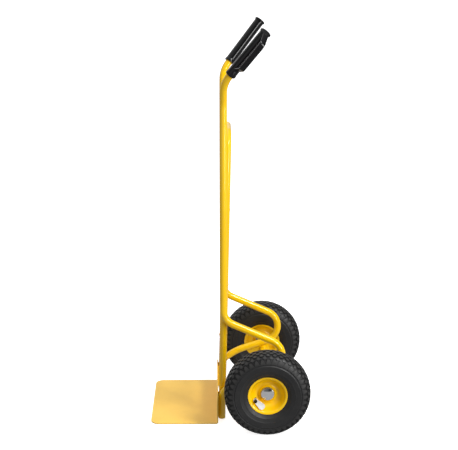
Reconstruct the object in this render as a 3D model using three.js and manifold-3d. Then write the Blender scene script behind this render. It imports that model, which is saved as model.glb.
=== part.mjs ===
// Two-wheeled hand truck: a welded tube frame with a toe plate, two grips and two air-filled wheels.
// Millimetres, +Z up. X runs across the truck, +Y points back to the person pushing it.
// Z = 0 is the floor, X = 0 the mid-plane and Y = 0 about half way along the truck's depth.
import * as THREE from "three";
import { mergeVertices } from "three/addons/utils/BufferGeometryUtils.js";
import Module from "manifold-3d";

// ---- Driving dimensions ----
const GAP = 0.3; // left between two pieces that touch
const BEND_STEP = (13 * Math.PI) / 180; // turn from one station of a bend to the next
const TUBE = { radius: 11, bore: 9.5, sides: 10, boreSides: 6 };
const UPRIGHT_X = 112.3; // centre of a leg of the inner hoop
const SIDE_X = UPRIGHT_X + 2 * TUBE.radius + GAP; // centre of a side tube, just outboard of it

const HOOP = { footY: -21.2, lean: 0.0208, footZ: 5, topZ: 893, bend: 60 };
const CROSSBAR = { radius: 10, bore: 8.5, sides: 12, heights: [190, 430, 665] };

// One side tube, from the floor up: corners of its centreline in side view, with bend radii.
const SIDE_TUBE = {
  foot: { y: -21.5, z: 5 },
  heel: { y: -21.5, z: 89.4, bend: 45 },
  stay: { y: 27.2, z: 124.8, bend: 180 },
  hook: { y: 258.6, z: 202.3, bend: 54 },
  shoulder: { y: -16, z: 324.5, bend: 50 },
  splay: { y: -16, z: 985, bend: 80 },
  handle: { y: -15.5, z: 1050, bend: 92 },
};
const HANDLE_RISE = new THREE.Vector3(45, 97, 123); // direction of the grips, outward, back and up

const GRIP = {
  start: 33, // along the handle from its corner
  length: 166,
  radius: 15,
  bore: TUBE.radius + GAP,
  collarRadius: 15.9,
  collarLength: 8,
  flangeRadius: 17.2,
  flangeLength: 5,
  chamfer: 1.5,
  tubeIn: 157, // how far the side tube goes in
  sides: 20,
};
// Knuckle guard: how far its band stands off the grip's axis, and where it starts, runs straight and ends.
const GUARD = { reach: 52.5, tilt: 0.2, width: 17, thick: 4, root: 29, from: 53, to: 147, end: 165 };

const PLATE = { width: 345, frontY: -241, thick: 3.5, backY: -32.9, lip: 85, bend: 4, corner: 26 };

const AXLE = { y: 115, z: 130, radius: 10, end: 246 };
const BRACKET = { thick: 5, from: 66, to: 128, ear: 26, toe: 12 };

const WHEEL = { x: 230, radius: 130, halfWidth: 42.5, segments: 32 };
const INNER_TUBE = { ring: 88, halfWidth: 29, halfHeight: 27, wall: 2, sides: 8, segments: 16, hole: 3 };
const RIM = { sheet: 2, segments: 24 };
const HUB = { outer: 20, middleBore: 15.5, inboard: -24, outboard: 12, segments: 20 };
const BEARING = { outer: 17.5, bore: AXLE.radius + GAP, width: 10 };
const SLEEVE = { outer: 12, segments: 16 };
const WASHER = { outer: 16, thick: 2 };
const CAP = { radius: 19.25, front: 20, edge: 3.5, segments: 24 };
// The valve stands at "seat" from the wheel's axis, turned by "angle" below the rearward direction.
const VALVE = { radius: 4.2, inner: 6, outer: 24, seat: 40.5, angle: 2.69, sides: 12 };
const VALVE_CAP = { radius: 5, tip: 3.5, length: 9.5 };
const TAG = { x: 21.2, thick: 0.8, neck: 6.4, body: 10, length: 25, lean: 0.876, slope: 0.3 };

const COLOURS = {
  paint: { color: 0xf2b705, roughness: 0.35, metalness: 0.1 },
  rubber: { color: 0x2a2a2a, roughness: 0.85, metalness: 0 },
  plastic: { color: 0x151515, roughness: 0.45, metalness: 0 },
  steel: { color: 0x9a9a9a, roughness: 0.35, metalness: 0.9 },
  chrome: { color: 0xc8c8c8, roughness: 0.12, metalness: 1 },
  card: { color: 0xf4f4f0, roughness: 0.8, metalness: 0 },
};

// ---- Joining and cutting closed geometries ----
const wasm = await Module();
wasm.setup();

function solid(geometry) {
  const bare = geometry.clone();
  bare.deleteAttribute("normal");
  bare.deleteAttribute("uv");
  const merged = mergeVertices(bare, 1e-4);
  const vertProperties = Float32Array.from(merged.attributes.position.array);
  const triVerts = Uint32Array.from(merged.index.array);
  return new wasm.Manifold(new wasm.Mesh({ numProp: 3, vertProperties, triVerts }));
}

function geometryOf(manifold) {
  const mesh = manifold.getMesh();
  const geometry = new THREE.BufferGeometry();
  geometry.setAttribute("position", new THREE.BufferAttribute(mesh.vertProperties, 3));
  geometry.setIndex(new THREE.BufferAttribute(mesh.triVerts, 1));
  return geometry;
}

// ---- Outlines and paths ----
function ringOfPoints(radius, sides) {
  const points = [];
  for (let i = 0; i < sides; i++) {
    const angle = (i / sides) * 2 * Math.PI;
    points.push(new THREE.Vector2(radius * Math.cos(angle), radius * Math.sin(angle)));
  }
  return points;
}

function ringShape(radius, sides, bore, boreSides) {
  const shape = new THREE.Shape(ringOfPoints(radius, sides));
  shape.holes.push(new THREE.Path(ringOfPoints(bore, boreSides)));
  return shape;
}

// A centreline of straight runs and round bends, with stations only where it starts, turns or ends.
class BentPath extends THREE.Curve {
  constructor(corners) {
    super();
    this.stations = [];
    const last = corners.length - 1;
    corners.forEach((corner, i) => {
      if (i === 0 || i === last) {
        const next = corners[i === 0 ? 1 : last - 1].at;
        const along = new THREE.Vector3().subVectors(next, corner.at).normalize();
        this.stations.push({ at: corner.at, along: i === 0 ? along : along.negate() });
      } else {
        this.addBend(corners[i - 1].at, corner, corners[i + 1].at);
      }
    });
  }
  addBend(before, corner, after) {
    const arriving = new THREE.Vector3().subVectors(corner.at, before).normalize();
    const leaving = new THREE.Vector3().subVectors(after, corner.at).normalize();
    const turn = arriving.angleTo(leaving);
    const start = corner.at.clone().addScaledVector(arriving, -corner.bend * Math.tan(turn / 2));
    const axis = new THREE.Vector3().crossVectors(arriving, leaving).normalize();
    const inward = new THREE.Vector3().crossVectors(axis, arriving);
    const steps = Math.max(2, Math.ceil(turn / BEND_STEP));
    for (let i = 0; i <= steps; i++) {
      const angle = (i / steps) * turn;
      const at = start.clone().addScaledVector(arriving, corner.bend * Math.sin(angle));
      at.addScaledVector(inward, corner.bend * (1 - Math.cos(angle)));
      this.stations.push({ at, along: arriving.clone().applyAxisAngle(axis, angle) });
    }
  }
  station(t) {
    return this.stations[Math.round(t * (this.stations.length - 1))];
  }
  getPoint(t, target = new THREE.Vector3()) {
    return target.copy(this.station(t).at);
  }
  getPointAt(t, target) {
    return this.getPoint(t, target);
  }
  getTangent(t, target = new THREE.Vector3()) {
    return target.copy(this.station(t).along);
  }
  getTangentAt(t, target) {
    return this.getTangent(t, target);
  }
}

function sweep(shape, corners) {
  const extrudePath = new BentPath(corners);
  return new THREE.ExtrudeGeometry(shape, { steps: extrudePath.stations.length - 1, extrudePath });
}

// Turned about the X axis: each profile point is [distance along X, radius].
function turned(profile, segments) {
  const points = profile.map(([x, radius]) => new THREE.Vector2(radius, x));
  points.push(points[0].clone());
  if (THREE.ShapeUtils.isClockWise(points)) points.reverse();
  return new THREE.LatheGeometry(points, segments).rotateZ(-Math.PI / 2);
}

// A plain ring or sleeve about the X axis.
function ringAlongX(from, to, outer, bore, segments) {
  return turned([[from, bore], [to, bore], [to, outer], [from, outer]], segments);
}

// A sheet-metal profile of even thickness about a middle line of [x, radius] points.
function sheetProfile(middle, thick) {
  const side = (sign) =>
    middle.map(([x, r], i) => {
      const [x0, r0] = middle[Math.max(i - 1, 0)];
      const [x1, r1] = middle[Math.min(i + 1, middle.length - 1)];
      const length = Math.hypot(x1 - x0, r1 - r0);
      const shift = (sign * thick) / 2 / length;
      return [x - shift * (r1 - r0), r + shift * (x1 - x0)];
    });
  return [...side(1), ...side(-1).reverse()];
}

// An outline given its thickness along Z.
function straightExtrude(shape, depth, curveSegments = 6) {
  return new THREE.ExtrudeGeometry(shape, { depth, bevelEnabled: false, curveSegments });
}

// A flat piece drawn in side view (y, z) and given its thickness along X, centred on x.
const SIDE_VIEW = new THREE.Matrix4().makeBasis(
  new THREE.Vector3(0, 1, 0),
  new THREE.Vector3(0, 0, 1),
  new THREE.Vector3(1, 0, 0),
);
function sideExtrude(shape, x, depth, curveSegments) {
  const slab = straightExtrude(shape, depth, curveSegments).translate(0, 0, x - depth / 2);
  return slab.applyMatrix4(SIDE_VIEW);
}

const part = new THREE.Group();

function add(parent, name, geometry, finish) {
  const mesh = new THREE.Mesh(geometry, new THREE.MeshStandardMaterial(COLOURS[finish]));
  mesh.name = name;
  parent.add(mesh);
  return mesh;
}

const SIDES = [["left", 1], ["right", -1]];

// ---- Frame ----
function hoopPoint(x, z) {
  return new THREE.Vector3(x, HOOP.footY + HOOP.lean * z, z);
}

// The inner hoop: two legs and a round-cornered top, leaning back a little.
function innerHoop() {
  const { radius, sides, bore, boreSides } = TUBE;
  return sweep(ringShape(radius, sides, bore, boreSides), [
    { at: hoopPoint(-UPRIGHT_X, HOOP.footZ) },
    { at: hoopPoint(-UPRIGHT_X, HOOP.topZ), bend: HOOP.bend },
    { at: hoopPoint(UPRIGHT_X, HOOP.topZ), bend: HOOP.bend },
    { at: hoopPoint(UPRIGHT_X, HOOP.footZ) },
  ]);
}

// A straight tube between the hoop's legs, its ends hollowed to fit round them.
function crossbar(height) {
  const { radius, sides, bore } = CROSSBAR;
  const bar = solid(
    sweep(ringShape(radius, sides, bore, sides), [
      { at: hoopPoint(-UPRIGHT_X, height) },
      { at: hoopPoint(UPRIGHT_X, height) },
    ]),
  );
  const reach = 3 * radius;
  return geometryOf(
    [-UPRIGHT_X, UPRIGHT_X].reduce((rest, x) => {
      const leg = new THREE.Shape(ringOfPoints(TUBE.radius + GAP, sides));
      const ends = [{ at: hoopPoint(x, height - reach) }, { at: hoopPoint(x, height + reach) }];
      return rest.subtract(solid(sweep(leg, ends)));
    }, bar),
  );
}

function sideTubeCorners(sign) {
  const { foot, heel, stay, hook, shoulder, splay, handle } = SIDE_TUBE;
  const level = [foot, heel, stay, hook, shoulder, splay].map(({ y, z, bend }) => ({
    at: new THREE.Vector3(sign * SIDE_X, y, z),
    bend,
  }));
  const outward = (HANDLE_RISE.x / HANDLE_RISE.z) * (handle.z - splay.z);
  const corner = new THREE.Vector3(sign * (SIDE_X + outward), handle.y, handle.z);
  const end = corner.clone().addScaledVector(handleDirection(sign), GRIP.start + GRIP.tubeIn);
  return [...level, { at: corner, bend: handle.bend }, { at: end }];
}

function handleDirection(sign) {
  return new THREE.Vector3(sign * HANDLE_RISE.x, HANDLE_RISE.y, HANDLE_RISE.z).normalize();
}

// One continuous side tube: foot, stay to the axle, hook, long post and splayed handle.
function sideTube(sign) {
  const { radius, sides, bore, boreSides } = TUBE;
  return sweep(ringShape(radius, sides, bore, boreSides), sideTubeCorners(sign));
}

// The toe plate: flat sheet turned up at the back, with rounded corners.
function toePlate() {
  const { width, frontY, thick, backY, lip, bend, corner } = PLATE;
  const outer = bend + thick;
  const profile = new THREE.Shape();
  profile.moveTo(frontY, thick);
  profile.lineTo(frontY, 0);
  profile.absarc(backY - outer, outer, outer, -Math.PI / 2, 0, false);
  profile.lineTo(backY, lip);
  profile.lineTo(backY - thick, lip);
  profile.absarc(backY - outer, outer, bend, 0, -Math.PI / 2, true);
  const sheet = solid(sideExtrude(profile, 0, width, 5));

  const half = width / 2;
  const plan = new THREE.Shape();
  plan.moveTo(half, 0);
  plan.lineTo(-half, 0);
  plan.absarc(-half + corner, frontY + corner, corner, Math.PI, 1.5 * Math.PI, false);
  plan.absarc(half - corner, frontY + corner, corner, -Math.PI / 2, 0, false);
  const planCut = straightExtrude(plan, 2 * lip).translate(0, 0, -lip / 2);

  const front = new THREE.Shape();
  front.moveTo(-half, -lip);
  front.lineTo(half, -lip);
  front.absarc(half - corner, lip - corner, corner, 0, Math.PI / 2, false);
  front.absarc(-half + corner, lip - corner, corner, Math.PI / 2, Math.PI, false);
  const frontCut = straightExtrude(front, -2 * frontY).rotateX(Math.PI / 2);
  return geometryOf(sheet.intersect(solid(planCut)).intersect(solid(frontCut)));
}

// A hanger plate under the stay, with the axle through it.
function axleBracket(sign) {
  const { thick, from, to, ear, toe } = BRACKET;
  const { stay, hook } = SIDE_TUBE;
  const slope = Math.atan2(hook.z - stay.z, hook.y - stay.y);
  const drop = TUBE.radius + GAP;
  const underStay = (y) => stay.z + Math.tan(slope) * (y - stay.y) - drop / Math.cos(slope);
  const outline = new THREE.Shape();
  outline.moveTo(from, underStay(from));
  outline.lineTo(from + toe / 2, underStay(from) - toe);
  outline.absarc(AXLE.y, AXLE.z, ear, 1.3 * Math.PI, 1.95 * Math.PI, false);
  outline.lineTo(to, underStay(to));
  const centre = new THREE.Vector2(AXLE.y, AXLE.z);
  const hole = ringOfPoints(AXLE.radius + GAP, 16).map((point) => point.add(centre));
  outline.holes.push(new THREE.Path(hole));
  return sideExtrude(outline, sign * SIDE_X, thick, 6);
}

function axle() {
  const rod = new THREE.CylinderGeometry(AXLE.radius, AXLE.radius, 2 * AXLE.end, 20);
  return rod.rotateZ(-Math.PI / 2).translate(0, AXLE.y, AXLE.z);
}

// The sleeve of a grip along local +Z: collar, hand part and end flange, open at the bottom.
function gripSleeve() {
  const { length, radius, bore, collarRadius, collarLength, flangeRadius, flangeLength, chamfer } = GRIP;
  const hollow = GRIP.tubeIn + GAP;
  const profile = [
    [0, bore],
    [hollow, bore],
    [hollow, 0],
    [length, 0],
    [length, flangeRadius - chamfer],
    [length - chamfer, flangeRadius],
    [length - flangeLength, flangeRadius],
    [length - flangeLength - chamfer, radius],
    [collarLength + chamfer, radius],
    [collarLength, collarRadius],
    [0, collarRadius],
  ];
  return turned(profile, GRIP.sides).rotateY(-Math.PI / 2);
}

// The band of the knuckle guard, drawn outward (x) and along the grip (y), then turned to stand on +Z.
function guardBand() {
  const { reach, tilt, width, thick, root, from, to, end } = GUARD;
  const inner = GRIP.radius - 1; // a little inside the sleeve's wall
  const near = GRIP.flangeRadius + 1;
  const band = new THREE.Shape([
    new THREE.Vector2(inner, root),
    new THREE.Vector2(near + 2, root),
    new THREE.Vector2(reach + thick / 2, from),
    new THREE.Vector2(reach + thick / 2, to),
    new THREE.Vector2(near, end),
    new THREE.Vector2(inner, end),
    new THREE.Vector2(inner, end - thick),
    new THREE.Vector2(near - 1, end - thick),
    new THREE.Vector2(reach - thick / 2, to - thick / 2),
    new THREE.Vector2(reach - thick / 2, from + thick / 2),
    new THREE.Vector2(near, root + thick),
    new THREE.Vector2(inner, root + thick),
  ]);
  return straightExtrude(band, width).translate(0, 0, -width / 2).rotateX(Math.PI / 2).rotateZ(tilt);
}

// Sleeve and guard as one moulding; local +X points outboard.
function gripBody() {
  const { bore, sides } = GRIP;
  const hollow = GRIP.tubeIn + GAP;
  const core = new THREE.CylinderGeometry(bore, bore, hollow, sides);
  core.rotateX(Math.PI / 2).translate(0, 0, hollow / 2);
  return solid(gripSleeve()).add(solid(guardBand()).subtract(solid(core)));
}

function grip(sign) {
  const corners = sideTubeCorners(sign);
  const corner = corners[corners.length - 2].at;
  const along = handleDirection(sign);
  const outboard = new THREE.Vector3(sign, 0, 0).projectOnPlane(along).normalize();
  const across = new THREE.Vector3().crossVectors(along, outboard).multiplyScalar(sign);
  const turn = new THREE.Matrix4().makeBasis(outboard, across, along);
  const body = geometryOf(gripBody()).applyMatrix4(turn);
  const base = corner.clone().addScaledVector(along, GRIP.start);
  body.translate(base.x, base.y, base.z);
  if (sign < 0) flipFaces(body);
  return body;
}

// Mirroring turns faces inside out; this turns them back.
function flipFaces(geometry) {
  const index = geometry.index.array;
  for (let i = 0; i < index.length; i += 3) {
    [index[i + 1], index[i + 2]] = [index[i + 2], index[i + 1]];
  }
}

function buildFrame() {
  add(part, "inner_hoop", innerHoop(), "paint");
  ["lower", "middle", "upper"].forEach((place, i) => {
    add(part, `${place}_crossbar`, crossbar(CROSSBAR.heights[i]), "paint");
  });
  add(part, "toe_plate", toePlate(), "paint");
  add(part, "axle", axle(), "paint");
  for (const [side, sign] of SIDES) {
    add(part, `${side}_side_tube`, sideTube(sign), "paint");
    add(part, `${side}_axle_bracket`, axleBracket(sign), "paint");
    add(part, `${side}_grip`, grip(sign), "plastic");
  }
}

// ---- Wheels, built about their own centre with local +X pointing outboard ----
function tyre() {
  const { radius, halfWidth } = WHEEL;
  const tread = [[0, radius], [24, radius - 2.5], [37, radius - 12], [halfWidth, 95]];
  const wallOut = [[37, 70], [28, 61.5], [26.2, 53]];
  const wallIn = [[18, 52.4], [21, 60], [33, 74], [38, 95], [32, 113], [0, radius - 7]];
  const half = [...tread, ...wallOut, ...wallIn];
  const mirrored = half.slice(1, -1).map(([x, r]) => [-x, r]).reverse();
  return turned([...half, ...mirrored], WHEEL.segments);
}

// The inner tube: a hollow ring with a hole where the valve goes in.
function innerTube() {
  const { ring, halfWidth, halfHeight, wall, sides, segments, hole } = INNER_TUBE;
  const oval = (inset) =>
    ringOfPoints(1, sides).map(({ x, y }) => [(halfWidth - inset) * x, ring + (halfHeight - inset) * y]);
  const hollow = solid(turned(oval(0), segments)).subtract(solid(turned(oval(wall), segments)));
  const drill = new THREE.CylinderGeometry(hole, hole, 8 * wall, sides);
  drill.translate(0, ring - halfHeight + wall, 0).rotateX(Math.PI / 2 - VALVE.angle);
  return geometryOf(hollow.subtract(solid(drill)));
}

// One pressed dish: boss round the hub, bowl, bead seat and flange.
function rimPressing() {
  const middle = [
    [11, HUB.outer + GAP + RIM.sheet / 2],
    [5.5, 25.5],
    [3.2, 31],
    [5.2, 37.5],
    [10.8, 43.5],
    [17.5, 47.8],
    [24, 50.3],
    [28.6, 52],
    [29.6, 59.6],
  ];
  return turned(sheetProfile(middle, RIM.sheet), RIM.segments);
}

// The outer dish has a hole for the valve.
function drilledPressing() {
  const { radius, outer } = VALVE;
  const hole = solid(onValve(rodAlongX(0, outer, radius + GAP)));
  return geometryOf(solid(rimPressing()).subtract(hole));
}

function hub() {
  const { outer, middleBore, inboard, outboard, segments } = HUB;
  const seat = BEARING.outer + GAP;
  const depth = BEARING.width + GAP;
  const profile = [
    [inboard, seat],
    [inboard + depth, seat],
    [inboard + depth, middleBore],
    [outboard - depth, middleBore],
    [outboard - depth, seat],
    [outboard, seat],
    [outboard, outer],
    [inboard, outer],
  ];
  return turned(profile, segments);
}

function bearing(from) {
  return ringAlongX(from, from + BEARING.width, BEARING.outer, BEARING.bore, HUB.segments);
}

// The valve passes through the outer dish and points outboard.
function valveStem() {
  const { radius, inner, outer } = VALVE;
  return onValve(rodAlongX(inner, outer, radius));
}

function valveCap() {
  const { radius, tip, length } = VALVE_CAP;
  const from = VALVE.outer + GAP;
  return onValve(rodAlongX(from, from + length, radius, tip));
}

// A solid rod about the X axis; a smaller tip chamfers its outboard end.
function rodAlongX(from, to, radius, tip = radius - 0.5) {
  const shoulder = to - (radius - tip);
  return turnedSolid([[from, 0], [from, radius], [shoulder, radius], [to, tip], [to, 0]], VALVE.sides);
}

// As turned(), for a profile that starts and ends on the axis.
function turnedSolid(profile, segments) {
  const points = profile.map(([x, radius]) => new THREE.Vector2(radius, x));
  return new THREE.LatheGeometry(points, segments).rotateZ(-Math.PI / 2);
}

function onValve(geometry) {
  const { seat, angle } = VALVE;
  return geometry.translate(0, seat * Math.cos(angle), -seat * Math.sin(angle));
}

// A blank card tag that hangs on the valve, its far end leaning outboard.
function valveTag() {
  const { x, thick, neck, body, length, lean, slope } = TAG;
  const shape = new THREE.Shape();
  shape.absarc(0, 0, neck, 0, Math.PI, false);
  shape.absarc(0, -length, body, Math.PI, 2 * Math.PI, false);
  shape.holes.push(new THREE.Path(ringOfPoints(VALVE.radius + 2 * GAP, VALVE.sides)));
  const card = straightExtrude(shape, thick).rotateX(-slope).rotateZ(lean);
  return onValve(card.applyMatrix4(SIDE_VIEW).translate(x, 0, 0));
}

function buildWheel(side, sign) {
  const wheel = new THREE.Group();
  wheel.position.set(sign * WHEEL.x, AXLE.y, AXLE.z);
  if (sign < 0) wheel.rotation.z = Math.PI;
  part.add(wheel);
  add(wheel, `${side}_tyre`, tyre(), "rubber");
  add(wheel, `${side}_inner_tube`, innerTube(), "rubber");
  add(wheel, `${side}_rim_outer_pressing`, drilledPressing(), "paint");
  add(wheel, `${side}_rim_inner_pressing`, rimPressing(), "paint").rotation.z = Math.PI;
  add(wheel, `${side}_hub`, hub(), "steel");
  add(wheel, `${side}_outer_bearing`, bearing(HUB.outboard - BEARING.width), "steel");
  add(wheel, `${side}_inner_bearing`, bearing(HUB.inboard), "steel");
  add(wheel, `${side}_valve_stem`, valveStem(), "rubber");
  add(wheel, `${side}_valve_cap`, valveCap(), "plastic");
  add(wheel, `${side}_valve_tag`, valveTag(), "card");
}

// ---- Pieces on the axle beside each wheel, in the wheel's own frame but fixed to the axle ----
function axleCap() {
  const { radius, front, edge, segments } = CAP;
  const back = HUB.outboard + GAP + WASHER.thick + GAP;
  const bore = AXLE.radius + GAP;
  const depth = AXLE.end - WHEEL.x + GAP;
  const profile = [
    [depth, 0],
    [depth, bore],
    [back, bore],
    [back, radius],
    [front - edge / 2, radius],
    [front - edge / 4, radius - edge / 4],
    [front, radius - edge],
    [front, 0],
  ];
  return turnedSolid(profile, segments);
}

function buildAxleFittings(side, sign) {
  const group = new THREE.Group();
  group.position.set(sign * WHEEL.x, AXLE.y, AXLE.z);
  if (sign < 0) group.rotation.z = Math.PI;
  part.add(group);
  const bore = AXLE.radius + GAP;
  const sleeveFrom = SIDE_X + BRACKET.thick / 2 + GAP - WHEEL.x;
  const sleeveTo = HUB.inboard - GAP - WASHER.thick - GAP;
  const ringFrom = (from, to, outer) => ringAlongX(from, to, outer, bore, SLEEVE.segments);
  const washerFrom = (from) => ringFrom(from, from + WASHER.thick, WASHER.outer);
  add(group, `${side}_spacer_sleeve`, ringFrom(sleeveFrom, sleeveTo, SLEEVE.outer), "paint");
  add(group, `${side}_inner_washer`, washerFrom(sleeveTo + GAP), "steel");
  add(group, `${side}_outer_washer`, washerFrom(HUB.outboard + GAP), "steel");
  add(group, `${side}_axle_cap`, axleCap(), "chrome");
}

buildFrame();
for (const [side, sign] of SIDES) {
  buildWheel(side, sign);
  buildAxleFittings(side, sign);
}

export default part;
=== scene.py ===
# Looks of the two-wheeled hand truck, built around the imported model. Metres, +Z up.
# X runs across the truck and +Y points back to the person pushing it.
import math

import bmesh
import bpy
from mathutils import Matrix, Vector


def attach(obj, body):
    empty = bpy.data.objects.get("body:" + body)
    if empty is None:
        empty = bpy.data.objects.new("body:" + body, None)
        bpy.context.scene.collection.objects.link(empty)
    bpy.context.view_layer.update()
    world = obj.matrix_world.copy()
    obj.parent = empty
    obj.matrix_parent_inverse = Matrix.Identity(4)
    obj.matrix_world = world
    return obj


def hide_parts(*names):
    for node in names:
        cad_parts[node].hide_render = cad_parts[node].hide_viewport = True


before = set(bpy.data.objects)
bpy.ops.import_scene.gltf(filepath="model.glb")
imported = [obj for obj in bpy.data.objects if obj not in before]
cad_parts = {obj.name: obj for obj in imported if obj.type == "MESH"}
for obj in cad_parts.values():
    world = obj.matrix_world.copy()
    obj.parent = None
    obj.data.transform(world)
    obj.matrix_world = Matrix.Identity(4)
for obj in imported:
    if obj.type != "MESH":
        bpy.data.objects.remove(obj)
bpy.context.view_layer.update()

MM = 0.001
SIDES = (("left", 1), ("right", -1))

# ---- Driving dimensions, in millimetres, the same as the solids' ----
TUBE_RADIUS, TUBE_BORE = 11, 9.5
LEG_X = 112.3  # centre of a leg of the inner hoop
SIDE_X = 134.6  # centre of a side tube
HOOP = {"foot_y": -21.2, "lean": 0.0208, "foot_z": 5, "top_z": 893, "bend": 60}
CROSSBAR_RADIUS, CROSSBAR_HEIGHTS = 10, (190, 430, 665)
SIDE_TUBE = (  # y, z and bend radius of each corner of the centreline, from the floor up
    (-21.5, 5, 0),
    (-21.5, 89.4, 45),
    (27.2, 124.8, 180),
    (258.6, 202.3, 54),
    (-16, 324.5, 50),
    (-16, 985, 80),
)
HANDLE_CORNER_Y, HANDLE_CORNER_Z, HANDLE_BEND = -15.5, 1050, 92
HANDLE_RISE = Vector((45, 97, 123))  # direction of the grips: outward, back and up
GRIP_START, GRIP_LENGTH, GRIP_TUBE_IN = 33, 166, 157
GRIP_RADIUS, COLLAR_RADIUS, FLANGE_RADIUS = 15, 15.9, 17.2
GUARD_REACH, GUARD_TILT, GUARD_WIDTH, GUARD_THICK = 52.5, 0.2, 17, 4
GUARD_FROM, GUARD_TO = 53, 147
PLATE = {"width": 345, "front_y": -241, "thick": 3.5, "back_y": -32.9, "lip": 85, "bend": 4, "corner": 26}
AXLE_Y, AXLE_Z, AXLE_RADIUS, AXLE_END = 115, 130, 10, 246
WHEEL_X = 230
BRACKET_THICK = 5
HUB = {"outer": 20, "bore": 15.5, "inboard": -24, "outboard": 12, "seat": 17.8, "bearing": 10.3}
CAP_RADIUS, CAP_FRONT = 19.25, 20
VALVE_SEAT, VALVE_ANGLE, VALVE_OUTER = 40.5, 2.69, 24


# ---- Mesh helpers ----
def new_object(name, verts, faces, sharp_angle=35, scuff_sheen_and_groove_shade=None):
    """A mesh object from points in millimetres, with merged points, outward faces and smooth shading."""
    mesh = bpy.data.meshes.new(name)
    bm = bmesh.new()
    # an optional value per point; the tyre uses it for its paler lug tops and its painted groove shade
    layer = bm.verts.layers.float.new("scuff_sheen_and_groove_shade") if scuff_sheen_and_groove_shade else None
    points = [bm.verts.new(Vector(v) * MM) for v in verts]
    for point, value in zip(points, scuff_sheen_and_groove_shade or ()):
        point[layer] = value
    for face in faces:
        corners = [points[i] for i in dict.fromkeys(face)]
        if len(corners) > 2 and bm.faces.get(corners) is None:
            bm.faces.new(corners)
    bmesh.ops.remove_doubles(bm, verts=bm.verts, dist=1e-7)
    bmesh.ops.recalc_face_normals(bm, faces=bm.faces)
    for face in bm.faces:
        face.smooth = True
    bm.to_mesh(mesh)
    bm.free()
    mesh.set_sharp_from_angle(angle=math.radians(sharp_angle))
    obj = bpy.data.objects.new(name, mesh)
    bpy.context.collection.objects.link(obj)
    return obj


def settle(obj, sharp_angle=35):
    """Applies an object's modifiers to its mesh."""
    evaluated = obj.evaluated_get(bpy.context.evaluated_depsgraph_get())
    mesh = bpy.data.meshes.new_from_object(evaluated)
    obj.modifiers.clear()
    obj.data = mesh
    for face in mesh.polygons:
        face.use_smooth = True
    mesh.set_sharp_from_angle(angle=math.radians(sharp_angle))
    return obj


def soften_edges(obj, width, segments=2):
    bevel = obj.modifiers.new("Bevel", "BEVEL")
    bevel.width = width * MM
    bevel.segments = segments
    bevel.limit_method = "ANGLE"
    bevel.angle_limit = math.radians(50)
    return settle(obj)


def rings_to_faces(rows, columns, close_rows, start=0):
    """Quads between neighbouring rows of points; columns always close round."""
    faces = []
    for i in range(rows if close_rows else rows - 1):
        near, far = start + i * columns, start + (i + 1) % rows * columns
        for j in range(columns):
            k = (j + 1) % columns
            faces.append((near + j, near + k, far + k, far + j))
    return faces


def arc(centre, radius, start, end, steps):
    """Points on a round arc in a plane, angles in degrees."""
    points = []
    for i in range(steps + 1):
        angle = math.radians(start + (end - start) * i / steps)
        points.append((centre[0] + radius * math.cos(angle), centre[1] + radius * math.sin(angle)))
    return points


def smooth_line(points, steps):
    """A curve through points of any dimension, with even steps between each two."""
    result = []
    for i in range(len(points) - 1):
        a, b = points[max(i - 1, 0)], points[i]
        c, d = points[i + 1], points[min(i + 2, len(points) - 1)]
        for step in range(steps):
            t = step / steps
            point = []
            for p, q, r, s in zip(a, b, c, d):
                square, cube = 2 * p - 5 * q + 4 * r - s, 3 * q - p - 3 * r + s
                point.append(0.5 * (2 * q + (r - p) * t + square * t * t + cube * t**3))
            result.append(tuple(point))
    result.append(tuple(points[-1]))
    return result


def rounded_loop(points, radius, steps=3):
    """A closed outline with its corners rounded off."""
    result = []
    count = len(points)
    for i, point in enumerate(points):
        before = Vector(points[i - 1]) - Vector(point)
        after = Vector(points[(i + 1) % count]) - Vector(point)
        cut = min(radius, before.length * 0.45, after.length * 0.45)
        start, end = Vector(point) + before.normalized() * cut, Vector(point) + after.normalized() * cut
        for step in range(steps + 1):
            t = step / steps
            result.append(tuple((1 - t) ** 2 * start + 2 * t * (1 - t) * Vector(point) + t * t * end))
    return result


def centreline(corners, bend_step=math.radians(4)):
    """Points and directions along straight runs and round bends; each corner is a point and a bend radius."""
    stations = []
    last = len(corners) - 1
    for i, (corner, bend) in enumerate(corners):
        corner = Vector(corner)
        if i in (0, last):
            other = Vector(corners[1 if i == 0 else last - 1][0])
            direction = (other - corner).normalized()
            stations.append((corner, direction if i == 0 else -direction))
            continue
        arriving = (corner - Vector(corners[i - 1][0])).normalized()
        leaving = (Vector(corners[i + 1][0]) - corner).normalized()
        turn = arriving.angle(leaving)
        start = corner - arriving * bend * math.tan(turn / 2)
        axis = arriving.cross(leaving).normalized()
        inward = axis.cross(arriving)
        steps = max(3, math.ceil(turn / bend_step))
        for step in range(steps + 1):
            angle = turn * step / steps
            point = start + arriving * bend * math.sin(angle) + inward * bend * (1 - math.cos(angle))
            stations.append((point, Matrix.Rotation(angle, 3, axis) @ arriving))
    return stations


def moving_axes(stations, first_side=None):
    """Two side directions at each station that turn no more than the path does."""
    side = Vector(first_side) if first_side else stations[0][1].orthogonal()
    axes = []
    for _, direction in stations:
        side = (side - direction * side.dot(direction)).normalized()
        axes.append((side, direction.cross(side)))
    return axes


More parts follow.
